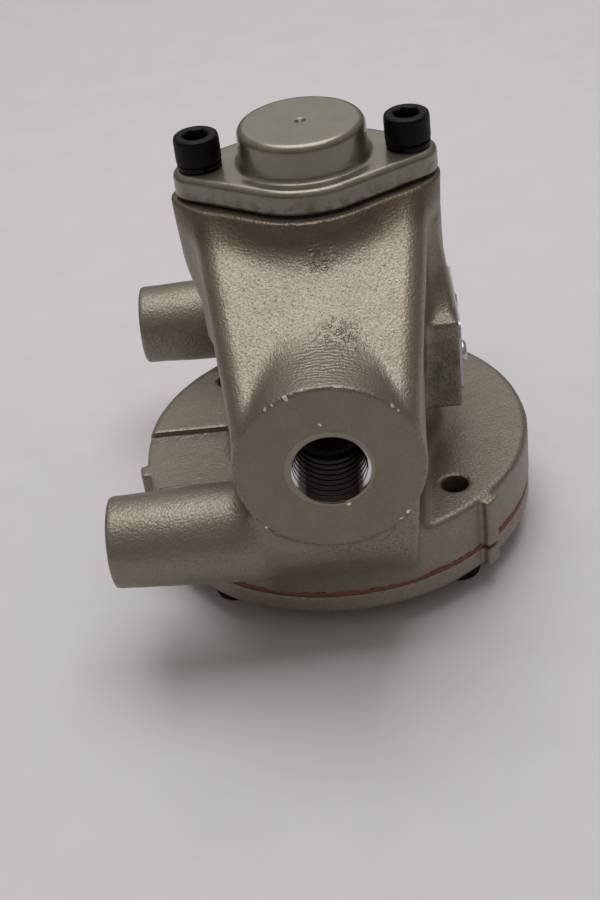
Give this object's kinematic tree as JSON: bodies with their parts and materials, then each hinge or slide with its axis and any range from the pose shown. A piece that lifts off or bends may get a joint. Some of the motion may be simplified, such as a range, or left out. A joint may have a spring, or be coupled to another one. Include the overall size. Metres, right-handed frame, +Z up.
{
  "type": "diaphragm-operated poppet valve",
  "caption": "Inline poppet valve: cast body with threaded line ports, bolted end cap over a return spring, a round diaphragm cover below and side mounting bosses.",
  "frame": {"origin": "mouth of the pilot port on the stem axis, in the plane that the cover screw heads stand on", "axes": "+Z up the stem axis, -Y out of the front line port, +Y out of the rear line port, -X out of the mounting bosses"},
  "size_m": [0.0763, 0.0918, 0.0841],
  "materials": {
    "cast_body": "greige metallic paint over a sand-cast skin, machined faces smoother",
    "cast_cap": "greige metallic paint, smooth die-cast skin",
    "red_gasket": "matt red sheet",
    "black_gasket": "matt black sheet",
    "diaphragm_rubber": "fabric-reinforced, matt",
    "black_oxide": "black oxide, oily satin",
    "zinc_steel": "turned, satin",
    "stainless": "ground, bright",
    "bronze": "sintered bronze, satin",
    "brass": "turned, bright",
    "seal_rubber": "moulded, satin",
    "spring_steel": "drawn wire, satin",
    "plate_aluminium": "brushed, blank"
  },
  "bodies": {
    "housing": {"valve_body": "cast_body", "diaphragm_cover": "cast_body", "diaphragm_gasket": "red_gasket", "diaphragm": "diaphragm_rubber", "stem_bush": "bronze", "stem_seal": "seal_rubber", "seat_insert": "brass", "return_spring": "spring_steel", "end_cap": "cast_cap", "end_cap_gasket": "black_gasket", "end_cap_screws": "black_oxide", "lock_washers": "black_oxide", "cover_screws": "black_oxide", "nameplate": "plate_aluminium", "nameplate_pins": "zinc_steel"},
    "poppet_assembly": {"stem": "stainless", "lower_diaphragm_plate": "zinc_steel", "upper_diaphragm_plate": "zinc_steel", "stem_nut": "zinc_steel", "poppet_retainer": "zinc_steel", "poppet_seal": "seal_rubber", "poppet": "brass", "poppet_nut": "zinc_steel"}
  },
  "joints": [
    {"name": "stem_lift", "type": "slide", "parent": "housing", "child": "poppet_assembly", "axis": [0, 0, 1], "range_m": [0, 0.0025], "stiffness_N_per_m": 840, "springref_m": -0.004, "deforming": ["return_spring", "diaphragm"]}
  ]
}
